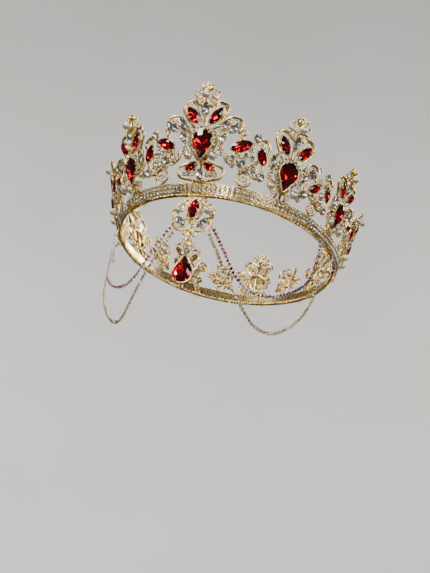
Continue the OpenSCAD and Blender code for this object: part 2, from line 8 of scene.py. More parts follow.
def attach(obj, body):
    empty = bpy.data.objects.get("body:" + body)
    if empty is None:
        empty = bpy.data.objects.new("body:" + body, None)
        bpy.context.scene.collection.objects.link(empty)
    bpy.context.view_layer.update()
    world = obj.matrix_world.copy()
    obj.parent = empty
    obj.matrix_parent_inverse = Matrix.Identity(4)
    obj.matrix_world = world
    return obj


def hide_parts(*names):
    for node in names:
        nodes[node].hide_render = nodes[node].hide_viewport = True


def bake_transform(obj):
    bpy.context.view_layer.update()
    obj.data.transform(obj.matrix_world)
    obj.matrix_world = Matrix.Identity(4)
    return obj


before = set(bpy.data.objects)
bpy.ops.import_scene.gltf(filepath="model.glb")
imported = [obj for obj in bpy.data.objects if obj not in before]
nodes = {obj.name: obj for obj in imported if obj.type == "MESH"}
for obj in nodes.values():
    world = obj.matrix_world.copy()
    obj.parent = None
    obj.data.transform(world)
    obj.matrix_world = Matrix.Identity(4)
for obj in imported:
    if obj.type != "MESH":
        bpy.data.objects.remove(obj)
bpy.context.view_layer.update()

MM = 0.001
UNIT = Matrix.Scale(MM, 4)
ROUND = 2 * math.pi

# The band's oval and the crown's pitch, in millimetres, as in the CAD model.
BAND_W, BAND_L, END_R, FLARE = 151, 176, 68, 16.4
HALF_W, HALF_L = BAND_W / 2, BAND_L / 2
END_C = HALF_L - END_R
SIDE_R = (END_C ** 2 + HALF_W ** 2 - END_R ** 2) / (2 * (HALF_W - END_R))
SIDE_C = SIDE_R - HALF_W
MEET = math.atan2(SIDE_C, END_C)
END_LEN = END_R * MEET
SIDE_LEN = SIDE_R * (math.pi - 2 * MEET)
AROUND = 4 * END_LEN + 2 * SIDE_LEN
PEAKS = 10
PITCH = AROUND / PEAKS
RIM_TOP = 9.4
PEAK_SCALES = [1, 1, 0.88, 0.82, 0.79, 0.76]
LINK_SCALES = [1, 0.88, 0.82, 0.79, 0.76]
FRONT_RISE, SIDE_RISE = 27.1, 17.8
PEAR_R = 6.75
ROW_STONES = 172
PIN_OUT, PIN_DROP = 3.2, 1.2
TAIL_AT = 115
PLACES = ["front", "front_right", "right", "rear_right", "back_right",
          "back", "back_left", "rear_left", "left", "front_left"]


# ---- Places on the crown's wall ----

def turn(s):
    """Heading of the wall's outward normal, from -Y towards +X, at a distance along the band."""
    if s > AROUND / 2:
        return -turn(AROUND - s)
    if s < 0:
        return -turn(-s)
    if s <= END_LEN:
        return s / END_LEN * MEET
    if s <= END_LEN + SIDE_LEN:
        return MEET + (s - END_LEN) / SIDE_R
    return math.pi - MEET + (s - END_LEN - SIDE_LEN) / END_R


def edge_point(s, out=0.0):
    """Point of the band's lower edge in millimetres, moved outward in the horizontal plane."""
    t = turn(s)
    if abs(t) <= MEET:
        c, r = (0, -END_C), END_R
    elif abs(t) >= math.pi - MEET:
        c, r = (0, END_C), END_R
    else:
        c, r = (-math.copysign(SIDE_C, t), 0), SIDE_R
    return c[0] + (r + out) * math.sin(t), c[1] - (r + out) * math.cos(t)


def at_edge(s):
    """Frame on the lower edge, in metres: x along the band, y inward, z up."""
    x, y = edge_point(s)
    return Matrix.Translation((x * MM, y * MM, 0)) @ Matrix.Rotation(turn(s), 4, "Z") @ UNIT


def on_wall(s):
    """Frame in the leaning wall: x along the band, y up the wall, z outward; its unit is a millimetre."""
    return at_edge(s) @ Matrix.Rotation(math.radians(90 + FLARE), 4, "X")


def on_peak(i):
    """Frame of a peak at its pear stone; x points away from the front on both sides."""
    k = PEAK_SCALES[min(i, PEAKS - i)]
    rise = FRONT_RISE if i == 0 else SIDE_RISE
    flip = Matrix.Scale(-1, 4, (1, 0, 0)) if i > PEAKS / 2 else Matrix()
    return on_wall(i * PITCH) @ flip @ Matrix.Translation((0, RIM_TOP + k * rise, 0)) @ Matrix.Scale(k, 4)


def on_link(j):
    """Frame of the link between two peaks at the rim; x points towards the front."""
    k = LINK_SCALES[min(j, PEAKS - 1 - j)]
    flip = Matrix.Scale(-1, 4, (1, 0, 0)) if j < PEAKS / 2 else Matrix()
    return on_wall((j + 0.5) * PITCH) @ flip @ Matrix.Translation((0, RIM_TOP, 0)) @ Matrix.Scale(k, 4)


def on_pin():
    """Frame of the hanging pieces: x along the pin, y up, z to the front."""
    place = Matrix.Translation((0, -(HALF_L + PIN_OUT) * MM, -PIN_DROP * MM))
    return place @ Matrix.Rotation(math.radians(90), 4, "X") @ UNIT


# ---- Building meshes ----

class Build:
    """Collects vertices and faces, then makes one mesh object of them."""

    def __init__(self):
        self.points, self.faces, self.slots, self.smooth = [], [], [], []

    def add(self, at, points, faces, smooth=True, backing=()):
        """Adds faces in the first material, and backing faces in the second one."""
        start = len(self.points)
        flipped = at.determinant() < 0
        self.points += [at @ Vector(p) for p in points]
        for slot, group in enumerate((faces, backing)):
            for f in group:
                f = [start + i for i in f]
                self.faces.append(f[::-1] if flipped else f)
                self.slots.append(slot)
                self.smooth.append(smooth)

    def make(self, name, *materials):
        mesh = bpy.data.meshes.new(name)
        mesh.from_pydata([tuple(p) for p in self.points], [], self.faces)
        for m in materials:
            mesh.materials.append(m)
        mesh.polygons.foreach_set("material_index", self.slots)
        mesh.polygons.foreach_set("use_smooth", self.smooth)
        mesh.update()
        obj = bpy.data.objects.new(name, mesh)
        bpy.context.scene.collection.objects.link(obj)
        return obj


def carry(piece, body, slot, *replaced):
    """Puts a piece on its body, and hides the CAD nodes it stands for; the slot argument is not used."""
    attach(piece, body)
    if replaced:
        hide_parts(*replaced)


def v3(p, z=0.0):
    return Vector((p[0], p[1], p[2] if len(p) > 2 else z))


def tube(build, at, path, radius, sides=8, closed=False):
    """Round wire along a path of points; the radius is a number, or a function of the share of the way."""
    path = [v3(p) for p in path]
    n = len(path)
    size = radius if callable(radius) else (lambda u: radius)
    points, faces = [], []
    side = None
    for i, p in enumerate(path):
        before = path[i - 1] if i or closed else p
        after = path[(i + 1) % n] if i < n - 1 or closed else p
        along = (after - before).normalized()
        if side is None:
            side = along.orthogonal().normalized()
        side = (side - along * side.dot(along)).normalized()
        up = along.cross(side)
        r = size(i / max(n - 1, 1))
        for k in range(sides):
            a = ROUND * k / sides
            points.append(p + r * (math.cos(a) * side + math.sin(a) * up))
    rounds = n if closed else n - 1
    shift = 0
    if closed:
        # The last ring meets the first one at the turn of the section that fits best.
        first = [points[k] for k in range(sides)]
        last = points[-sides:]
        shift = min(range(sides),
                    key=lambda m: sum((first[(k + m) % sides] - last[k]).length for k in range(sides)))
    for i in range(rounds):
        for k in range(sides):
            a, b = i * sides + k, i * sides + (k + 1) % sides
            if i == n - 1:
                c, d = (k + 1 + shift) % sides, (k + shift) % sides
            else:
                c, d = b + sides, a + sides
            faces.append([a, b, c, d])
    if not closed:
        for ring, end, sign in ((0, path[0], -1), ((n - 1) * sides, path[-1], 1)):
            along = (path[1] - path[0]) if sign < 0 else (path[-1] - path[-2])
            r = size(0 if sign < 0 else 1)
            points.append(end + along.normalized() * sign * 0.7 * r)
            tip = len(points) - 1
            for k in range(sides):
                pair = [ring + k, ring + (k + 1) % sides]
                faces.append([pair[1], pair[0], tip] if sign < 0 else pair + [tip])
    build.add(at, points, faces)


def ball(build, at, centre, r, rows=8, cols=14):
    c = v3(centre)
    points = [c + Vector((0, 0, r))]
    for i in range(1, rows):
        a = math.pi * i / rows
        for k in range(cols):
            b = ROUND * k / cols
            way = (math.sin(a) * math.cos(b), math.sin(a) * math.sin(b), math.cos(a))
            points.append(c + r * Vector(way))
    points.append(c - Vector((0, 0, r)))
    last = len(points) - 1
    faces = [[0, 1 + k, 1 + (k + 1) % cols] for k in range(cols)]
    for i in range(rows - 2):
        for k in range(cols):
            a, b = 1 + i * cols + k, 1 + i * cols + (k + 1) % cols
            faces.append([a, a + cols, b + cols, b])
    base = 1 + (rows - 2) * cols
    faces += [[base + k, last, base + (k + 1) % cols] for k in range(cols)]
    build.add(at, points, faces)


def arc(c, r, start=0.0, end=360.0, z=0.0, step=12):
    """Points along an arc, angles in degrees."""
    n = max(3, int(abs(end - start) / step) + 1)
    return [(c[0] + r * math.cos(math.radians(start + (end - start) * i / n)),
             c[1] + r * math.sin(math.radians(start + (end - start) * i / n)), z) for i in range(n + 1)]


def smooth_path(points, step):
    """Catmull-Rom curve through the points, sampled at about the given step."""
    pts = [v3(p) for p in points]
    ends = [2 * pts[0] - pts[1]] + pts + [2 * pts[-1] - pts[-2]]
    out = []
    for i in range(1, len(ends) - 2):
        p0, p1, p2, p3 = ends[i - 1:i + 3]
        n = max(1, round((p2 - p1).length / step))
        for k in range(n):
            t = k / n
            out.append(0.5 * (2 * p1 + (p2 - p0) * t + (2 * p0 - 5 * p1 + 4 * p2 - p3) * t * t
                              + (3 * p1 - p0 - 3 * p2 + p3) * t ** 3))
    return out + [pts[-1]]


# ---- Outlines of stones: points and outward normals, counter-clockwise, long axis along y ----

def round_outline(n, w):
    return [(math.cos(ROUND * i / n) * w / 2, math.sin(ROUND * i / n) * w / 2) for i in range(n)]


def navette_outline(n, w, l):
    """Two arcs that meet in a point at each end; n is a multiple of 4."""
    r = (l * l + w * w) / (4 * w)
    a = math.asin(l / 2 / r)
    half = n // 2
    right = [(w / 2 - r + r * math.cos(-a + 2 * a * i / half), r * math.sin(-a + 2 * a * i / half))
             for i in range(half)]
    return right + [(-x, -y) for x, y in right]


def pear_outline(n, w, l):
    """A circle with two straight sides that meet in a tip at -y; the origin is the circle's centre."""
    r, tip = w / 2, l - w / 2
    half = math.asin(r / tip)
    side = math.sqrt(tip * tip - r * r)
    bend = r * (math.pi + 2 * half)
    total = bend + 2 * side
    out = []
    for i in range(n):
        d = total * i / n
        if d < side:
            k = d / side
            out.append((k * r * math.cos(half), -tip + k * (tip - r * math.sin(half))))
        elif d <= side + bend:
            a = -half + (d - side) / r
            out.append((r * math.cos(a), r * math.sin(a)))
        else:
            k = (total - d) / side
            out.append((-k * r * math.cos(half), -tip + k * (tip - r * math.sin(half))))
    return out


def grown(outline, by):
    """The outline moved outward by an even distance along its normals."""
    n = len(outline)
    out = []
    for i, p in enumerate(outline):
        a, b = outline[i - 1], outline[(i + 1) % n]
        d = Vector((b[0] - a[0], b[1] - a[1])).normalized()
        out.append((p[0] + d.y * by, p[1] - d.x * by))
    return out


def gem(build, at, outline, middle, low, girdle, high, table=0.56):
    """Cut stone: a table and three rows of crown facets in glass, over a foiled pavilion."""
    n = len(outline) // 2
    c = v3(middle)

    def point(i, share, z):
        x, y = outline[i % (2 * n)]
        return (c.x + (x - c.x) * share, c.y + (y - c.y) * share, z)

    rim = 0.06 * (high - low)
    kite_z = girdle + 0.52 * (high - girdle)
    points = [point(2 * j, table, high) for j in range(n)]
    points += [point(2 * j + 1, 0.82, kite_z) for j in range(n)]
    points += [point(i, 1.0, girdle + rim) for i in range(2 * n)]
    points += [point(i, 1.0, girdle - rim) for i in range(2 * n)]
    points += [point(2 * j + 1, 0.45, girdle + 0.62 * (low - girdle)) for j in range(n)]
    points += [(c.x, c.y, low)]
    t, m, g, b, q = 0, n, 2 * n, 4 * n, 6 * n
    tip = 7 * n
    crown, back = [[t + j for j in range(n)]], []
    for j in range(n):
        k = (j + 1) % n
        g0, g1, g2 = 2 * j, 2 * j + 1, (2 * j + 2) % (2 * n)
        crown += [[t + j, m + j, t + k], [t + k, m + j, g + g2, m + k],
                  [m + j, g + g0, g + g1], [m + j, g + g1, g + g2],
                  [g + g0, b + g0, b + g1, g + g1], [g + g1, b + g1, b + g2, g + g2]]
        back += [[q + j, b + g1, b + g0], [q + j, b + g2, b + g1], [tip, q + k, b + g2, q + j]]
    build.add(at, points, crown, smooth=False, backing=back)


def loft(build, at, outline, profile, closed=False, backed=False):
    """Wall around an outline: each profile row is an offset from the outline and a height."""
    n = len(outline)
    points = []
    for by, z in profile:
        points += [(x, y, z) for x, y in grown(outline, by)]
    faces = []
    rows = len(profile)
    for i in range(rows if closed else rows - 1):
        for k in range(n):
            a, b = i * n + k, i * n + (k + 1) % n
            c, d = (i + 1) % rows * n + (k + 1) % n, (i + 1) % rows * n + k
            faces.append([a, b, c, d])
    if backed:
        faces.append(list(range(n))[::-1])
    build.add(at, points, faces)


def prong(build, at, foot, inward, z0, z1, r):
    """Claw that rises outside a cup and bends over the stone's edge."""
    f, d = v3(foot), v3(inward).normalized()
    path = [f + Vector((0, 0, z0)), f + d * -0.05 + Vector((0, 0, (z0 + z1) / 2)),
            f + d * 0.1 + Vector((0, 0, z1 - 0.15)), f + d * (0.3 + 0.6 * r) + Vector((0, 0, z1 + 0.2)),
            f + d * (0.45 + 1.5 * r) + Vector((0, 0, z1 + 0.22))]
    tube(build, at, smooth_path(path, 0.25), lambda u: r * (1.1 - 0.35 * u * u), sides=6)


# ---- Reading the stones from the frame ----

def islands(node):
    """Each separate solid of a CAD node: its points, and its faces as lists of points."""
    mesh = nodes[node].data
    keys = {}
    label = []
    for v in mesh.vertices:
        label.append(keys.setdefault(tuple(round(c, 6) for c in v.co), len(keys)))
    parent = list(range(len(keys)))

    def root(i):
        while parent[i] != i:
            parent[i] = parent[parent[i]]
            i = parent[i]
        return i

    for p in mesh.polygons:
        ids = [root(label[v]) for v in p.vertices]
        for i in ids[1:]:
            parent[i] = ids[0]
            ids[0] = root(ids[0])
    groups = {}
    for p in mesh.polygons:
        corners = [mesh.vertices[v].co.copy() for v in p.vertices]
        groups.setdefault(root(label[p.vertices[0]]), []).append(corners)
    return list(groups.values())


def stone_places(node):
    """For each blank of a node: its frame in millimetres (y along it, z outward), width, length and depth."""
    places = []
    for faces in islands(node):
        points = np.array([tuple(p) for f in faces for p in f]) / MM
        mid = (points.min(0) + points.max(0)) / 2
        areas = {}
        for f in faces:
            n = (f[1] - f[0]).cross(f[2] - f[0])
            if n.length == 0:
                continue
            key = tuple(round(c, 2) for c in n.normalized())
            areas[key] = areas.get(key, 0) + n.length
        out = Vector(max(areas, key=areas.get)).normalized()
        outward = Vector((mid[0], mid[1], 0))
        if out.dot(outward) < 0:
            out = -out
        z = np.array(out)
        flat = points - np.outer(points @ z, z)
        centre = flat.mean(0)
        reach = np.linalg.norm(flat - centre, axis=1)
        far = flat[reach.argmax()] - centre
        round_stone = reach.max() < 1.06 * np.median(reach)
        y = np.array((0, 0, 1.0)) - z * z[2] if round_stone else -far
        y = y / np.linalg.norm(y)
        x = np.cross(y, z)
        u, v, w = points @ x, points @ y, points @ z
        width, length, depth = np.ptp(u), np.ptp(v), np.ptp(w)
        origin = x * (u.min() + u.max()) / 2 + y * (v.min() + v.max()) / 2 + z * w.min()
        at = Matrix([(x[k] * MM, y[k] * MM, z[k] * MM, origin[k] * MM) for k in range(3)] + [(0, 0, 0, 1)])
        places.append((at, float(width), float(length), float(depth)))
    return places


# ---- Materials ----

def new_material(name):
    mat = bpy.data.materials.new(name)
    mat.use_nodes = True
    tree = mat.node_tree
    return mat, tree, tree.nodes["Principled BSDF"]


def noise(tree, scale, detail=3.0, rough=0.5, distortion=0.0):
    coords = tree.nodes.new("ShaderNodeTexCoord")
    node = tree.nodes.new("ShaderNodeTexNoise")
    node.inputs["Scale"].default_value = scale
    node.inputs["Detail"].default_value = detail
    node.inputs["Roughness"].default_value = rough
    node.inputs["Distortion"].default_value = distortion
    tree.links.new(coords.outputs["Object"], node.inputs["Vector"])
    return node.outputs["Fac"]


def ramp(tree, source, *stops):
    node = tree.nodes.new("ShaderNodeValToRGB")
    bar = node.color_ramp
    while len(bar.elements) < len(stops):
        bar.elements.new(0.5)
    for e, (at, value) in zip(bar.elements, stops):
        e.position = at
        e.color = (value, value, value, 1) if isinstance(value, float) else (*value, 1)
    tree.links.new(source, node.inputs["Fac"])
    return node.outputs["Color"]


def bump(tree, shader, source, distance, strength=1.0):
    node = tree.nodes.new("ShaderNodeBump")
    node.inputs["Distance"].default_value = distance
    node.inputs["Strength"].default_value = strength
    tree.links.new(source, node.inputs["Height"])
    tree.links.new(node.outputs["Normal"], shader.inputs["Normal"])


def metal(name, light, deep, rough, grain, dent):
    """Plated wire: colour drifts between two tones, with rubbed spots and a faint cast grain."""
    mat, tree, shader = new_material(name)
    shader.inputs["Metallic"].default_value = 1.0
    drift = noise(tree, grain * 0.35, 4.0, 0.6, 0.4)
    tree.links.new(ramp(tree, drift, (0.3, deep), (0.62, light)), shader.inputs["Base Color"])
    spots = noise(tree, grain, 5.0, 0.65)
    tree.links.new(ramp(tree, spots, (0.35, rough), (0.7, rough + 0.16)), shader.inputs["Roughness"])
    bump(tree, shader, noise(tree, grain * 2.2, 3.0), dent)
    return mat


def glass(name, light, deep, ior, rough=0.015):
    """Cut glass whose tint is a little deeper in places."""
    mat, tree, shader = new_material(name)
    shader.inputs["Transmission Weight"].default_value = 1.0
    shader.inputs["IOR"].default_value = ior
    depth = noise(tree, 900.0, 2.0)
    tree.links.new(ramp(tree, depth, (0.35, deep), (0.65, light)), shader.inputs["Base Color"])
    smear = noise(tree, 2500.0, 3.0)
    tree.links.new(ramp(tree, smear, (0.4, rough), (0.8, rough + 0.05)), shader.inputs["Roughness"])
    return mat


def pearl_material():
    mat, tree, shader = new_material("pearl_nacre")
    cloud = noise(tree, 420.0, 3.0, 0.5, 0.8)
    tones = ((0.3, (0.50, 0.43, 0.27)), (0.55, (0.62, 0.56, 0.38)), (0.75, (0.72, 0.67, 0.50)))
    tree.links.new(ramp(tree, cloud, *tones), shader.inputs["Base Color"])
    skin = noise(tree, 1600.0, 2.0)
    tree.links.new(ramp(tree, skin, (0.3, 0.24), (0.8, 0.34)), shader.inputs["Roughness"])
    shader.inputs["Subsurface Weight"].default_value = 0.08
    shader.inputs["Subsurface Radius"].default_value = (0.0012, 0.0009, 0.0006)
    shader.inputs["Metallic"].default_value = 0.9
    shader.inputs["Coat Weight"].default_value = 1.0
    shader.inputs["Coat IOR"].default_value = 1.8
    shader.inputs["Coat Roughness"].default_value = 0.1
    return mat


GOLD = metal("polished_gold", (0.86, 0.63, 0.24), (0.54, 0.36, 0.10), 0.12, 500.0, 0.00002)
CUP_GOLD = metal("stamped_gold", (0.83, 0.63, 0.27), (0.48, 0.33, 0.11), 0.18, 900.0, 0.00003)
PALE_GOLD = metal("pale_gold", (0.92, 0.79, 0.46), (0.68, 0.52, 0.25), 0.15, 800.0, 0.00002)
SILVER = metal("silver_plate", (0.90, 0.90, 0.92), (0.58, 0.57, 0.60), 0.15, 800.0, 0.00002)
FOIL = metal("silver_foil", (0.97, 0.96, 0.94), (0.74, 0.73, 0.70), 0.06, 1500.0, 0.00001)
RUBY_FOIL = metal("red_foil", (0.86, 0.20, 0.25), (0.46, 0.06, 0.10), 0.05, 1500.0, 0.00001)
RUBY = glass("ruby_glass", (0.82, 0.005, 0.070), (0.50, 0.001, 0.028), 1.62)
CRYSTAL = glass("clear_glass", (0.98, 0.98, 0.97), (0.86, 0.89, 0.88), 1.60)
PEARL = pearl_material()


# ---- Camera ----

VIEW_AZ, VIEW_EL, VIEW_ROLL = math.radians(16.05), math.radians(-23.8), math.radians(9.75)
VIEW_FAR = 0.773
PAN, TILT = math.radians(0.616), math.radians(-1.605)
LENS, SENSOR = 68.393717, 36.0


def make_camera():
    """Stands at the viewing angle, and looks a little past the crown's origin."""
    cam = bpy.data.objects.new("camera", bpy.data.cameras.new("camera"))
    bpy.context.scene.collection.objects.link(cam)
    bpy.context.scene.camera = cam
    cam.data.sensor_width = SENSOR
    cam.data.lens = LENS
    cam.data.clip_start, cam.data.clip_end = 0.01, 20
    level = math.cos(VIEW_EL)
    back = Vector((math.sin(VIEW_AZ) * level, -math.cos(VIEW_AZ) * level, math.sin(VIEW_EL)))
    right = Vector((math.cos(VIEW_AZ), math.sin(VIEW_AZ), 0))
    up = back.cross(right)
    r = math.cos(VIEW_ROLL) * right + math.sin(VIEW_ROLL) * up
    u = -math.sin(VIEW_ROLL) * right + math.cos(VIEW_ROLL) * up
    stand = Matrix((r, u, back)).transposed().to_4x4()
    look = Matrix.Rotation(PAN, 4, "Y") @ Matrix.Rotation(TILT, 4, "X")
    cam.matrix_world = Matrix.Translation(back * VIEW_FAR) @ stand @ look


# ---- Swags ----

# Distance along the band from the front centre, then height, in millimetres.
SWAG_SHORT = [(13.5, -22.5), (16, -26.5), (19, -31.5), (22.5, -37), (26, -43), (30, -49), (34.5, -53.5),
              (39.5, -56.5), (45, -58), (51, -58), (57, -56.5), (63, -54), (69, -50.5), (75, -46),
              (81, -40.5), (86, -34), (90, -26.5), (92.5, -19), (94, -11.5), (94.5, -3.5)]
SWAG_LONG = [(11.6, -25.8), (13.4, -30), (16.5, -35), (20, -41.5), (23.5, -48), (28, -55), (33, -61.5),
             (39, -67.5), (45, -72), (51, -75.5), (57.5, -77), (64, -77), (70, -75.5), (76, -72),
             (81.5, -67), (86.5, -60.5), (90.5, -53), (94, -45), (96.5, -37), (98, -28.5), (98.5, -20),
             (98.5, -11.5), (98, -3.5)]
SWAG_OUT, CHAIN_W, CHAIN_PITCH, CHAIN_CORE = 2.5, 2.6, 2.75, 0.4
# The cups are a little shorter along the chain than across it.
CUP_SHAPE = Matrix.Diagonal((0.84, 1, 1, 1))
# The head that the swags lie on is upright down to this height, and narrows below it.
NARROW_Z, NARROW_RATE = -40, 0.0066


def chain_cup(build, at, r):
    """Square cup of a cup chain with four corner claws, around the origin, facing z."""
    wall = [(math.cos(a) * r * f, math.sin(a) * r * f) for a, f in
            [(ROUND * i / 16, 1.0 + 0.07 * (i % 4 == 2)) for i in range(16)]]
    loft(build, at, wall, [(-0.9 * r, -0.62), (-0.25, -0.62), (0, -0.5),
                           (0.02, 0.15), (-0.14, 0.15), (-0.2, -0.1)])
    for i in range(4):
        a = ROUND * (i + 0.5) / 4
        foot = (math.cos(a) * r * 1.02, math.sin(a) * r * 1.02)
        prong(build, at, foot, (-foot[0], -foot[1]), -0.3, 0.25, 0.17)


def make_swag(name, route, left, cup_metal, cup_slot, stone, foil):
    """Cup chain between the brow ornament's lower corner and the band's side."""
    side = -1 if left else 1
    coarse = [(*edge_point(s, SWAG_OUT - NARROW_RATE * min(0, z - NARROW_Z) ** 2), z) for s, z in route]
    path = smooth_path([(side * x, y, z) for x, y, z in coarse], 1.0)
    steps = [0.0]
    for a, b in zip(path, path[1:]):
        steps.append(steps[-1] + (b - a).length)
    length = steps[-1]
    count = round(length / CHAIN_PITCH)
    chain, stones = Build(), Build()
    tube(chain, UNIT, path, CHAIN_CORE, sides=6)
    for i in range(count):
        d = length * (i + 0.5) / count
        k = int(np.searchsorted(steps, d)) - 1
        p = path[k].lerp(path[k + 1], (d - steps[k]) / (steps[k + 1] - steps[k]))
        along = (path[k + 1] - path[k]).normalized()
        out = Vector((p.x, p.y, 0)).normalized()
        out = (out - along * out.dot(along)).normalized()
        across = along.cross(out)
        rows = [(along[c] * MM, across[c] * MM, out[c] * MM, p[c] * MM) for c in range(3)]
        at = Matrix(rows + [(0, 0, 0, 1)])
        chain_cup(chain, at @ CUP_SHAPE, CHAIN_W / 2)
        gem(stones, at, round_outline(12, 2.0), (0, 0), -0.45, 0.2, 0.8)
    cups = chain.make(name + "_cups", cup_metal)
    gems = stones.make(name + "_stones", stone, foil)
    for piece in (cups, gems):
        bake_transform(piece)
    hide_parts(name)
    rings = Build()
    upright = Matrix.Rotation(math.radians(90), 4, "X")
    for rise, turned in ((1.3, 0), (2.9, 90)):
        place = Matrix.Translation((path[-1] + Vector((0, 0, rise))) * MM)
        facing = place @ Matrix.Rotation(math.radians(turned), 4, "Z") @ upright @ UNIT
        tube(rings, facing, arc((0, 0), 0.95), 0.24, 6)
    carry(rings.make(name + "_end_rings", cup_metal), "crown", cup_slot)


make_camera()
for left in (False, True):
    hand = "left" if left else "right"
    make_swag("swag_short_" + hand, SWAG_SHORT, left, SILVER, "silver_cup",
              RUBY, RUBY_FOIL)
    make_swag("swag_long_" + hand, SWAG_LONG, left, PALE_GOLD, "pale_gold_cup",
              CRYSTAL, FOIL)


# ---- Band ----

def around_path(out, up, step, turns=0, radius=0.0, phase=0.0):
    """Closed path around the band, offset in the wall's frame, with an optional twist."""
    n = round(AROUND / step)
    points = []
    for i in range(n):
        a = ROUND * (turns * i / n + phase)
        place = Vector((0, up + radius * math.sin(a), out + radius * math.cos(a)))
        points.append(on_wall(AROUND * i / n) @ place / MM)
    return points



def make_hoop():
    """The hoop's strip with bevelled edges, and a fine wire between the rows."""
    build = Build()
    profile = [(-0.8, 2.3), (-0.6, 2.05), (0.6, 2.05), (0.8, 2.3),
               (0.8, 8.1), (0.6, 8.3), (-0.6, 8.3), (-0.8, 8.1)]
    step = 1.5
    n = round(AROUND / step)
    points = []
    for i in range(n):
        at = on_wall(AROUND * i / n)
        points += [at @ Vector((0, y, z)) / MM for z, y in profile]
    m = len(profile)
    faces = [[i * m + k, i * m + (k + 1) % m, (i + 1) % n * m + (k + 1) % m, (i + 1) % n * m + k]
             for i in range(n) for k in range(m)]
    build.add(UNIT, points, faces, smooth=False)
    tube(build, UNIT, around_path(0.95, 5.3, step), 0.22, 6, closed=True)
    return build.make("hoop_strip", CUP_GOLD)


def make_braid():
    """Two thick strands twisted round each other, with a thin wire in each valley."""
    build = Build()
    turns = round(AROUND / 6.2)
    for k in range(2):
        tube(build, UNIT, around_path(0.2, 0.8, 0.6, turns, 0.62, k / 2), 0.66, 8, closed=True)
        tube(build, UNIT, around_path(0.2, 0.8, 0.6, turns, 1.08, k / 2 + 0.25), 0.2, 5, closed=True)
    return build.make("braided_edge", GOLD)


def make_rim():
    """The rim: one plain wire with a fine wire coiled round it."""
    build = Build()
    tube(build, UNIT, around_path(0, 8.8, 1.2), 0.46, 8, closed=True)
    tube(build, UNIT, around_path(0, 8.8, 0.3, round(AROUND / 1.6), 0.5), 0.14, 4, closed=True)
    return build.make("rim_wire", GOLD)


def make_row(name, node):
    """One row of rhinestones in claw cups on the hoop."""
    cups, stones = Build(), Build()
    for at, *_ in stone_places(node):
        seat = at @ Matrix.Translation((0, 0, -0.35))
        chain_cup(cups, seat, 1.28)
        gem(stones, seat, round_outline(12, 2.2), (0, 0), -0.35, 0.3, 0.95)
    cup_piece = cups.make(name + "_cups", CUP_GOLD)
    stone_piece = stones.make(name + "_rhinestones", CRYSTAL, FOIL)
    return cup_piece, stone_piece


def make_binding():
    """Turns of wire around the whole band beside the foot of every peak."""
    build = Build()
    pitch = AROUND / ROW_STONES
    for i in range(PEAKS):
        for k in (-3, -2, 2, 3):
            at = on_wall((round(i * PITCH / pitch) + k) * pitch)
            loop = [(-0.25, -0.9, 0.2), (-0.12, -0.95, 1.2), (0, 0.6, 2.25), (0.1, 5, 2.3), (0.15, 9, 2.2),
                    (0.2, 9.85, 1), (0.25, 9.9, -0.6), (0.2, 9, -1.5), (0, 5, -1.55), (-0.2, 0.5, -1.5),
                    (-0.25, -0.7, -1)]
            tube(build, at, smooth_path(loop + [loop[0]], 0.6), 0.24, 6)
    return build.make("binding_turns", GOLD)


carry(make_hoop(), "crown", "gold_wire", "hoop")
carry(make_braid(), "crown", "gold_wire", "lower_braid")
carry(make_rim(), "crown", "gold_wire", "upper_rim_wire")
carry(make_binding(), "crown", "gold_wire", "binding_wire")
for level in ("lower", "upper"):
    row_cups, row_gems = make_row(level + "_row", level + "_row_stones")
    carry(row_cups, "crown", "gold_cup", level + "_cup_strip")
    carry(row_gems, "crown", "clear_crystal", level + "_row_stones")


# ---- Filigree ----

WIRE = 0.95
# Scroll wires behind the stones: centre, radius, heading of the start in degrees, and turns.
FRONT_SCROLLS = [(12.6, 4.8, 2.6, 200, 1.3), (15.6, 8.2, 2.6, 120, -1.3), (11.8, -2.2, 2.4, 60, 1.3),
                 (12.2, -6.6, 2.6, 250, -1.3), (8.4, -20.2, 2.4, 40, 1.3), (4.2, -18.8, 2.2, 300, -1.3),
                 (19.6, 10.6, 2.6, 30, 1.3)]
SIDE_SCROLLS = [(12.2, 4.6, 2.6, 200, 1.3), (15.8, 3.2, 2.6, 100, -1.3), (11.6, -3.4, 2.4, 60, 1.3),
                (12.6, -10.8, 2.4, 250, -1.3), (-11.6, -1.4, 2.4, 120, 1.3), (-10.2, -8.8, 2.4, 70, -1.3),
                (-11, 8.6, 2.4, 30, 1.3), (-5.8, -14.2, 2.2, 90, 1.3), (5.4, -15.0, 2.2, 200, -1.3),
                (17.4, 8.4, 2.6, 0, 1.3)]
LINK_SCROLLS = [(-6.6, 12.2, 3.0, 200, 1.4), (-5.6, 17.2, 2.6, 60, -1.3), (0.4, 20.8, 2.6, 250, 1.3),
                (7.0, 20.6, 2.8, 90, -1.4), (-0.8, 14.2, 2.2, 20, 1.2), (8.8, 14.6, 2.8, 170, 1.4),
                (-0.4, 28.6, 2.6, 200, 1.4), (4.8, 30.2, 2.2, 270, -1.3), (-8.8, 29.2, 2.8, 90, 1.3),
                (12.6, 18.4, 2.2, 300, 1.2)]
# Beads on a link's wires: centre and radius.
LINK_BEADS = [(-0.6, 10.5, 1.0), (4.2, 10.8, 0.8), (-4.6, 11.2, 0.8), (-13, 25.5, 0.7), (4.5, 32.8, 0.8)]


def petal(build, at, p, q, w):
    """Leaf-shaped drop of gold from p, thick in the middle, to q."""
    p, q = v3(p), v3(q)
    path = [p.lerp(q, i / 8) for i in range(9)]
    tube(build, at, path, lambda u: w * max(0.28, math.sin(math.pi * min(1, 0.12 + 0.8 * u)) ** 0.8), sides=8)


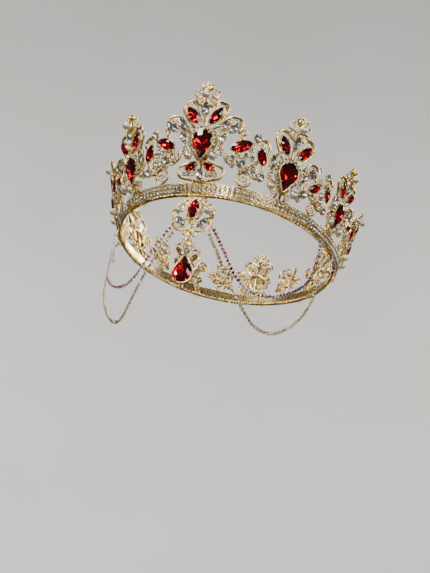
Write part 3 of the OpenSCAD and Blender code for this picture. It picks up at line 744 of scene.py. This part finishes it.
def peak_wires(build, at, i):
    """Wires of a peak: stem, pear frame, heart, ring loops, tip and wings."""
    front = i == 0
    rise = FRONT_RISE if front else SIDE_RISE
    tube(build, at, [(0, -rise, 0), (0, 10, 0.2), (0, 24, 0), (0, 34, 0)], WIRE)
    tube(build, at, arc((0, 0), PEAR_R + 1.7, -34, 214), WIRE)
    tube(build, at, arc((0, 0), PEAR_R + 3.0, 20, 160, 0.3), 0.3, 6)
    for m in (-1, 1):
        tube(build, at, [(m * 6.8, -4.6, 0), (m * 3.4, -9.5, 0), (0, -14.4, 0)], WIRE)
        # Heart loop: out of the stem, round its lobe and down its long side.
        lobe = arc((9.3, 20.5), 5.4, 142, -42)
        loop = [(0.4, 21.4, 0), (2.6, 23.0, 0.1)] + lobe + [(11.0, 13.4, 0), (7.8, 9.6, 0), (5.1, 7.1, 0)]
        tube(build, at, smooth_path([(m * x, y, z) for x, y, z in loop], 1.0), WIRE)
        inner = [(10.2, 14.6, 0.2)] + arc((9.5, 20.4), 4.1, -35, 165, 0.2)
        inner += [(2.9, 14.5, 0.2), (2.2, 10.4, 0.2)]
        tube(build, at, smooth_path([(m * x, y, z) for x, y, z in inner], 1.0), 0.42, 6)
        scroll(build, at, (m * 2.9, 24.4), 2.2, 270, m * 1.3)
        scroll(build, at, (m * 3.1, 13.4), 1.9, 90, -m * 1.3)
        ring = arc((m * 5.6, 30.9), 2.6, -200 if m > 0 else 20, 110 if m > 0 else -290)
        tube(build, at, ring, lambda u: 0.75 - 0.15 * u)
        ball(build, at, (m * 4.9, 31.4, 0.4), 0.75)
        ball(build, at, (m * 7, 27, 0.3), 1.15)
        ball(build, at, (m * 3.1, 26.3, 0.3), 0.8)
        petal(build, at, (m * 1.0, 32.4, 0.3), (m * 3.6, 37.4, 0.5), 1.5)
        ball(build, at, (m * 3.4, 36.9, 0.6), 1.15)
        ball(build, at, (m * 1.6, 34.2, 0.9), 0.8)
    tube(build, at, [(-5.2, 28.4, 0), (0, 27.6, 0.1), (5.2, 28.4, 0)], 0.5)
    petal(build, at, (0, 32.2, 0.3), (0, 38.4, 0.5), 1.7)
    ball(build, at, (0, 37.9, 0.6), 1.2)
    if front:
        for m in (-1, 1):
            wing(build, at, (19.2, 10.2), 5.8, m)
            fan = [(1.2, -13.2, 0), (6, -14.2, 0), (11.7, -16.4, 0)] + arc((10.6, -20.6), 4.4, 70, -75) \
                + [(6, -25.9, 0), (0.6, -26.4, 0)]
            tube(build, at, smooth_path([(m * x, y, z) for x, y, z in fan], 1.0), WIRE)
            tube(build, at, [(m * 4, -25.9, 0), (m * 4, -rise, 0)], WIRE)
            for x, y, r, start, turns in FRONT_SCROLLS:
                scroll(build, at, (m * x, y), r, start if m > 0 else 180 - start, m * turns)
    else:
        for x, y, r, start, turns in SIDE_SCROLLS:
            scroll(build, at, (x, y), r, start, turns)
        wing(build, at, (17.6, 7), 5.2, 1)
        for m in (-1, 1):
            tube(build, at, [(m * 3.6, -10.8, 0), (m * 3.6, -rise, 0)], WIRE)
        tube(build, at, smooth_path([(-12.6, -6.5, 0), (-9, -8.2, 0.2), (-4.6, -8.5, 0)], 1), WIRE)
        tube(build, at, smooth_path([(4.6, -8.5, 0), (9, -9.4, 0.2), (14.6, -8.8, 0)], 1), WIRE)


def wing(build, at, c, r, m):
    """Looped arch beside the pear, with a leg that runs in behind the halo."""
    leg = (c[0] + r * math.cos(math.radians(150)), c[1] + r * math.sin(math.radians(150)))
    foot = (leg[0] - 13.2 * math.cos(math.radians(60)), leg[1] - 13.2 * math.sin(math.radians(60)))
    route = arc(c, r, -50, 150) + [((leg[0] + foot[0]) / 2, (leg[1] + foot[1]) / 2, 0), (*foot, 0)]
    tube(build, at, smooth_path([(m * x, y, z) for x, y, z in route], 1.0), WIRE)
    tube(build, at, arc((m * c[0], c[1]), r - 1.7, 0, 360, 0.2), 0.28, 6)


def scroll(build, at, c, r, start, turns, w=0.42, z=-0.2):
    """Spiral of thin wire with a bead in its eye."""
    n = max(8, round(abs(turns) * 20))
    points = []
    for k in range(n + 1):
        u = k / n
        a = math.radians(start) + ROUND * turns * u
        points.append((c[0] + r * (1 - 0.75 * u) * math.cos(a), c[1] + r * (1 - 0.75 * u) * math.sin(a), z))
    tube(build, at, points, w, 6)
    ball(build, at, (c[0], c[1], z + 0.2), 0.32 * r)


def link_wires(build, at):
    """Wires of a link: scroll on the rim, stems, arch, loop and curl."""
    tube(build, at, arc((-0.6, 5.5), 4.9), 0.64)
    hook = arc((-0.6, 4), 2.7, 190, -70) + arc((-1.9, 3.6), 1.3, 330, 120)
    tube(build, at, hook, lambda u: 0.5 - 0.15 * u)
    spiral = []
    for u in (k / 30 for k in range(31)):
        r = 3.6 - 2.9 * u
        spiral.append((-0.6 + r * math.cos(9.5 * u), 6 + r * math.sin(9.5 * u), 0.3 + 0.5 * u))
    tube(build, at, spiral, lambda u: 0.48 - 0.12 * u)
    ball(build, at, (-0.2, 6.2, 0.9), 0.9)
    for x, y, r in LINK_BEADS:
        ball(build, at, (x, y, 0.4), r)
    for path in ([(-0.6, 10.4, 0), (3.4, 15.2, 0.2), (4.2, 24, 0.1), (4.6, 34, 0)],
                 [(-0.6, 10.4, 0), (-5, 15, 0.2), (-9.4, 21.8, 0)],
                 [(-10.7, 8.7, 0), (-11.2, 15, 0.2), (-9.4, 21.8, 0)],
                 [(-5, 7.6, 0), (-8, 7.4, 0.2), (-10.7, 8.7, 0)]):
        tube(build, at, smooth_path(path, 1.2), WIRE)
    tube(build, at, arc((4.5, 35), 1.75), 0.56)
    arch = [(-10.2, 17.5, 0), (-12.6, 22, 0)] + arc((-8.8, 28), 5, 200, -20) + [(-1.5, 25.4, 0), (4, 25, 0)]
    tube(build, at, smooth_path(arch, 1.0), WIRE)
    tube(build, at, arc((9.4, 18.8), 5.6, 195, 345), lambda u: 0.75 - 0.2 * u)
    for x, y, r, start, turns in LINK_SCROLLS:
        scroll(build, at, (x, y), r, start, turns)


for i, place in enumerate(PLACES):
    peak = Build()
    peak_wires(peak, on_peak(i), i)
    carry(peak.make(place + "_peak_wires", GOLD), "crown", "gold_wire", place + "_peak_filigree")
    link = Build()
    link_wires(link, on_link(i))
    carry(link.make(place + "_link_wires", GOLD), "crown", "gold_wire", place + "_link_filigree")


# ---- Stones and their settings ----

def claws(build, at, outline, shares, z0, z1, r):
    """Claws at given shares of the way round an outline."""
    n = len(outline)
    outer = grown(outline, 0.35)
    for share in shares:
        i = round(share * n) % n
        inward = (outline[i][0] - outer[i][0], outline[i][1] - outer[i][1])
        prong(build, at, outer[i], inward, z0, z1, r)


def cup(build, at, outline, floor, top):
    """Stamped cup with a closed back: a flared wall with a rolled edge around a stone's outline."""
    loft(build, at, outline, [(-0.3, floor - 0.05), (0.1, floor), (0.3, floor + 0.15),
                              (0.22, (floor + top) / 2), (0.45, top - 0.1), (0.38, top + 0.05),
                              (0.2, top + 0.06), (0.05, top - 0.05), (0.0, floor + 0.4)], backed=True)


def make_navettes(red_node, clear_node, name, body, setting_build):
    """Navette stones from their blanks, with a claw at each point and two on each side."""
    for node, material, foil, slot in ((red_node, RUBY, RUBY_FOIL, "red_glass"),
                                       (clear_node, CRYSTAL, FOIL, "clear_crystal")):
        stones = Build()
        for at, w, l, h in stone_places(node):
            outline = navette_outline(16, w, l)
            fine = navette_outline(48, w, l)
            gem(stones, at, outline, (0, 0), 0.02, 0.42 * h, h)
            cup(setting_build, at, fine, -0.22 * h, 0.4 * h)
            claws(setting_build, at, fine, (0, 0.5, 0.13, 0.37, 0.63, 0.87), 0, 0.52 * h, 0.11 * h + 0.08)
        carry(stones.make(name + "_" + slot, material, foil), body, slot, node)


def make_pears():
    """Large pears in bezels with claws, each on a plate that also carries its halo."""
    stones, settings = Build(), Build()
    for at, w, l, h in stone_places("pear_stones"):
        k = w / (2 * PEAR_R)
        centre = at @ Matrix.Translation((0, (l - w) / 2, 0))
        gem(stones, centre, pear_outline(24, w, l), (0, -0.14 * l), 0.05, 0.5 * h, h, table=0.6)
        fine = pear_outline(72, w, l)
        plate = [(-1.0, -0.45 * k), (3.0 * k, -0.45 * k), (3.1 * k, -0.2 * k), (2.9 * k, 0.02)]
        bezel = [(0.9 * k, 0.02), (0.75 * k, 0.4 * h), (0.95 * k, 0.48 * h), (0.75 * k, 0.56 * h),
                 (0.3 * k, 0.56 * h), (0.05, 0.5 * h), (0.02, 0.1)]
        loft(settings, centre, fine, plate + bezel, backed=True)
        claws(settings, centre, fine, (0, 0.14, 0.3, 0.42, 0.58, 0.7, 0.86), 0.5, 0.58 * h, 0.42 * k)
    return stones, settings


def make_halo(stones_node, name, body, settings):
    """Tiny stones in round seats with four beads each."""
    stones = Build()
    for at, w, _, h in stone_places(stones_node):
        r = w / 2
        gem(stones, at, round_outline(12, w), (0, 0), 0.0, 0.45 * h, h)
        loft(settings, at, round_outline(14, w),
             [(0.22, -0.1), (0.26, 0.3 * h), (0.16, 0.5 * h), (0.0, 0.4 * h)], backed=True)
        for a in (45, 135, 225, 315):
            d = math.radians(a)
            ball(settings, at, (1.1 * r * math.cos(d), 1.1 * r * math.sin(d), 0.55 * h), 0.2 * r + 0.03, 4, 6)
    carry(stones.make(name, CRYSTAL, FOIL), body, "clear_crystal", stones_node)


def make_rounds(node, name, body, settings):
    """Round stones in claw cups."""
    stones = Build()
    for at, w, _, h in stone_places(node):
        outline = round_outline(16, w)
        fine = round_outline(28, w)
        gem(stones, at, outline, (0, 0), 0.02, 0.42 * h, h)
        cup(settings, at, fine, -0.22 * h, 0.4 * h)
        count = 6 if w > 4 else 4
        claws(settings, at, fine, [(k + 0.5) / count for k in range(count)], 0, 0.52 * h, 0.1 * w / 2 + 0.12)
    carry(stones.make(name, CRYSTAL, FOIL), body, "clear_crystal", node)


def make_pearls(node, name, body, settings):
    """Pearls, each with a small gold dish behind it."""
    build = Build()
    for faces in islands(node):
        points = np.array([tuple(p) for f in faces for p in f])
        low, high = points.min(0), points.max(0)
        mid = (low + high) / 2
        r = float((high - low).max() / 2) / MM
        at = Matrix.Translation(mid) @ UNIT
        ball(build, at, (0, 0, 0), r, 16, 24)
        wall = Vector((mid[0], mid[1], 0)).normalized()
        tube(settings, at, [-wall * (r + 0.25), -wall * (r - 0.5)], r * 0.62, 12)
    carry(build.make(name, PEARL), body, "pearl", node)


pear_gems, pear_cups = make_pears()
carry(pear_gems.make("pear_gems", RUBY, RUBY_FOIL), "crown", "red_glass", "pear_stones")
make_halo("halo_stones", "halo_gems", "crown", pear_cups)
carry(pear_cups.make("pear_bezels", CUP_GOLD), "crown", "gold_cup", "pear_settings")
navette_cups = Build()
make_navettes("red_navettes", "clear_navettes", "navettes", "crown", navette_cups)
carry(navette_cups.make("navette_cups", CUP_GOLD), "crown", "gold_cup", "navette_settings")
round_cups = Build()
make_rounds("clear_round_stones", "round_gems", "crown", round_cups)
make_pearls("pearls", "pearl_beads", "crown", round_cups)
carry(round_cups.make("round_cups", CUP_GOLD), "crown", "gold_cup", "round_settings")


# ---- Brow ornament ----

ORNAMENT_Z, NAVETTE_Y, EYELET_Y, PIN_EYE_X = -0.6, -9.9, -29.6, 3.2
# Loops round the ornament (centre, radius), and the grains between them (centre and radius).
SCALLOPS = [((3.4, -2.7), 1.4), ((6.2, -4.6), 1.5), ((9.2, -7.0), 1.7), ((11.8, -10.9), 2.0),
            ((12.3, -14.0), 1.1), ((11.0, -16.9), 1.9), ((2.8, -26.0), 1.9)]
GRAINS = [(4.9, -3.0, 0.7), (7.7, -5.8, 0.9), (10.6, -9, 0.9), (12.9, -12.6, 0.7),
          (12.2, -15.6, 0.7), (8.6, -23.6, 0.8), (4.3, -24.2, 0.9), (2.9, -28.1, 0.7)]


def pin_coil(build, at, x, half):
    """Wire wound round a hinge pin."""
    turns = [(x + half * (2 * u - 1), 0.76 * math.cos(5 * math.pi * u), 0.76 * math.sin(5 * math.pi * u))
             for u in (k / 40 for k in range(41))]
    tube(build, at, turns, 0.24, 6)


def ornament_wires(build, at):
    """Loops around a pointed oval, with two pin coils above and the pendant's eyelet below."""
    z, w = ORNAMENT_Z, 0.62
    tube(build, at, [(x, y + NAVETTE_Y, z) for x, y in navette_outline(48, 10, 16.6)], w, closed=True)
    tube(build, at, [(x, y + NAVETTE_Y, z + 0.1) for x, y in navette_outline(48, 11.4, 18.2)], 0.28, 6,
         closed=True)
    for m in (-1, 1):
        eye = m * PIN_EYE_X
        pin_coil(build, at, eye, 0.65)
        tube(build, at, [(eye, -0.7, 0), (eye, -1.5, -0.4), (eye, -2.4, z)], 0.4)
        for (x, y), r in SCALLOPS:
            tube(build, at, arc((m * x, y), r, 0, 360, z), w)
            ball(build, at, (m * x, y, z + 0.1), 0.45 * r)
        tube(build, at, [(m * x, y, z + 0.2) for x, y, _ in arc((6.8, -19.2), 5.4, -118, 20)], w)
        tube(build, at, [(m * x, y, z + 0.2) for x, y, _ in arc((7.2, -18.8), 3.9, -110, 60)], 0.3, 6)
        for p, q in (((4.2, -9.5), (10, -11.4)), ((0.6, -15.8), (9.6, -17)), ((4.2, -9.5), (9.2, -8))):
            tube(build, at, [(m * p[0], p[1], z), (m * q[0], q[1], z)], w)
        for x, y, r in GRAINS:
            ball(build, at, (m * x, y, z + 0.4), r)
        petal(build, at, (m * 0.5, -20.6, z + 0.6), (m * 2.6, -17.6, z + 0.7), 0.8)
    tube(build, at, [(0, -16.6, z), (0, -27.2, z), (0, -28.2, 0)], w)
    tube(build, at, arc((0, -23.2), 1.5, 0, 360, z + 0.2), w)
    petal(build, at, (0, -21, z + 0.6), (0, -17.2, z + 0.8), 0.9)
    ball(build, at, (0, -25.2, z + 0.7), 1.1)
    tube(build, at, [(0, y + EYELET_Y, x) for x, y, _ in arc((0, 0), 1.4)], 0.4, 10)


def swag_links(build, at):
    """Small wire rings that join the four swags to the ornament's lower corners."""
    for m in (-1, 1):
        for k, (x, y, z) in enumerate(((12.3, -19.3, -0.9), (13.1, -20.7, -1.6), (12.1, -21.3, -1.2),
                                       (12.0, -23.2, -1.5))):
            ring = arc((0, 0), 1.05)
            if k % 2:
                tube(build, at, [(m * x, y + v, z + u) for u, v, _ in ring], 0.24, 6)
            else:
                tube(build, at, [(m * x + u, y + v, z) for u, v, _ in ring], 0.24, 6)


for node in ("ornament_hanger", "tail_hangers", "drop_ring"):
    nodes[node].data.materials.clear()
    nodes[node].data.materials.append(GOLD)

ornament = Build()
ornament_wires(ornament, on_pin())
carry(ornament.make("ornament_loops", GOLD), "brow_ornament", "gold_wire", "ornament_filigree")
links = Build()
swag_links(links, on_pin())
carry(links.make("swag_link_rings", GOLD), "brow_ornament", "gold_wire")
ornament_cups = Build()
make_navettes("ornament_red_stone", "ornament_clear_stones", "ornament", "brow_ornament", ornament_cups)
make_halo("ornament_halo_stones", "ornament_halo_gems", "brow_ornament", ornament_cups)
make_pearls("ornament_pearls", "ornament_pearl_beads", "brow_ornament", ornament_cups)
carry(ornament_cups.make("ornament_cups", CUP_GOLD), "brow_ornament", "gold_cup", "ornament_settings")


# ---- Pendant and side tails ----

DROP_EYE, DROP_TOP = -35.1, -40.6


def make_drop():
    """Pear stone in an open rim with claws, under three small stones and an eyelet."""
    stones, rim = Build(), Build()
    for at, w, l, h in stone_places("drop_stone"):
        centre = at @ Matrix.Translation((0, (l - w) / 2, 0))
        gem(stones, centre, pear_outline(24, w, l), (0, -0.14 * l), 0.05, 0.5 * h, h, table=0.6)
        fine = pear_outline(72, w, l)
        loft(rim, centre, fine, [(-0.7, -0.6), (0.6, -0.6), (0.85, -0.35), (0.7, 0.3 * h), (0.9, 0.42 * h),
                                 (0.7, 0.5 * h), (0.1, 0.5 * h), (0.03, 0.1), (-0.6, 0.0)], closed=True)
        claws(rim, centre, fine, (0.12, 0.28, 0.42, 0.58, 0.72, 0.88), 0.4, 0.56 * h, 0.4)
    carry(stones.make("drop_gem", RUBY, RUBY_FOIL), "pear_drop", "red_glass", "drop_stone")
    carry(rim.make("drop_rim", CUP_GOLD), "pear_drop", "gold_cup", "drop_setting")
    gems, bail = Build(), Build()
    tube(bail, on_pin(), [(0, y + DROP_EYE, x) for x, y, _ in arc((0, 0), 1.4)], 0.4, 10)
    petal(bail, on_pin(), (0, DROP_EYE - 4, 0), (0, DROP_TOP - 1, 0.3), 0.9)
    for at, w, _, h in stone_places("drop_bail_stones"):
        chain_cup(bail, at, 1.42)
        gem(gems, at, round_outline(12, 1.08 * w), (0, 0), -0.3, 0.45 * h, 1.1 * h)
    carry(gems.make("bail_gems", CRYSTAL, FOIL), "pear_drop", "clear_crystal", "drop_bail_stones")
    carry(bail.make("bail_cups", CUP_GOLD), "pear_drop", "gold_cup", "drop_bail")


def make_tail(hand):
    """Short cup chain that hangs from a wire staple and ends in a larger stone."""
    m = 1 if hand == "right" else -1
    place = at_edge(m * TAIL_AT) @ Matrix.Translation((0, -PIN_OUT, -PIN_DROP))
    place = place @ Matrix.Rotation(math.radians(90), 4, "X")
    chain, gems = Build(), Build()
    pin_coil(chain, place, 0, 0.5)
    tube(chain, place, [(0, -0.7, 0), (0, -13.4, 0)], 0.32, 6)
    for at, w, _, h in stone_places("tail_stones_" + hand):
        chain_cup(chain, at, 0.5 * w + 0.16)
        gem(gems, at, round_outline(12, 1.1 * w), (0, 0), -0.3, 0.42 * h, 1.05 * h)
    body = "side_tail_" + hand
    carry(chain.make("tail_chain_" + hand, SILVER), body, "silver_cup", "tail_strip_" + hand)
    carry(gems.make("tail_gems_" + hand, RUBY, RUBY_FOIL), body, "red_glass", "tail_stones_" + hand)


make_drop()
make_tail("right")
make_tail("left")


# ---- Stage and light ----

def make_stage():
    """Pale floor that turns up into a round wall, well below and around the crown."""
    mat, tree, shader = new_material("pale_floor")
    cloth = noise(tree, 3.0, 2.0)
    paint = ramp(tree, cloth, (0.3, (0.74, 0.73, 0.71)), (0.7, (0.78, 0.77, 0.76)))
    tree.links.new(paint, shader.inputs["Base Color"])
    shader.inputs["Roughness"].default_value = 0.9
    build = Build()
    low, far, bend, top = -0.36, 2.2, 0.8, 2.6
    profile = [(0.00005, low), (far - bend, low)]
    profile += [(far - bend + bend * math.sin(a), low + bend - bend * math.cos(a))
                for a in (math.radians(9 * k) for k in range(1, 11))]
    profile += [(far, top)]
    cols = 64
    headings = [ROUND * k / cols for k in range(cols)]
    points = [(r * math.cos(a), r * math.sin(a), z) for r, z in profile for a in headings]
    faces = [[i * cols + k, i * cols + (k + 1) % cols, (i + 1) * cols + (k + 1) % cols, (i + 1) * cols + k]
             for i in range(len(profile) - 1) for k in range(cols)]
    build.add(Matrix(), points, faces)
    floor = build.make("floor", mat)
    # The polished metal and the stones reflect the dim room and the soft boxes, not the floor.
    floor.visible_glossy = False
    floor.visible_transmission = False


def soft_light(name, place, size, power, colour=(1, 1, 1)):
    lamp = bpy.data.lights.new(name, "AREA")
    lamp.shape = "RECTANGLE"
    lamp.size, lamp.size_y = size
    lamp.energy = power
    lamp.color = colour
    obj = bpy.data.objects.new(name, lamp)
    bpy.context.scene.collection.objects.link(obj)
    obj.location = place
    obj.rotation_euler = (-Vector(place)).to_track_quat("-Z", "Y").to_euler()
    obj.visible_camera = False


def make_light():
    """Large soft boxes with a few small ones that sparkle in the stones, in a dim room."""
    world = bpy.data.worlds.new("studio")
    bpy.context.scene.world = world
    world.use_nodes = True
    world.node_tree.nodes["Background"].inputs["Color"].default_value = (0.88, 0.92, 0.95, 1)
    world.node_tree.nodes["Background"].inputs["Strength"].default_value = 0.09
    soft_light("key", (-0.7, -1.1, 0.9), (0.5, 0.5), 26, (1.0, 0.97, 0.92))
    soft_light("fill", (1.2, -0.9, 0.2), (0.4, 0.9), 12, (0.94, 0.97, 1.0))
    soft_light("low_front", (0.15, -1.35, -0.2), (0.6, 0.14), 5)
    soft_light("back", (0.5, 1.2, 1.0), (0.8, 0.4), 16, (1.0, 0.96, 0.92))
    soft_light("top", (0, 0, 1.5), (0.6, 0.6), 18)
    for i in range(10):
        a = ROUND * (i + 0.35) / 10
        place = (1.5 * math.sin(a), -1.5 * math.cos(a), 0.75 if i % 2 else -0.18)
        soft_light(f"sparkle_{i}", place, (0.1, 0.1), 2.2)


make_stage()
make_light()
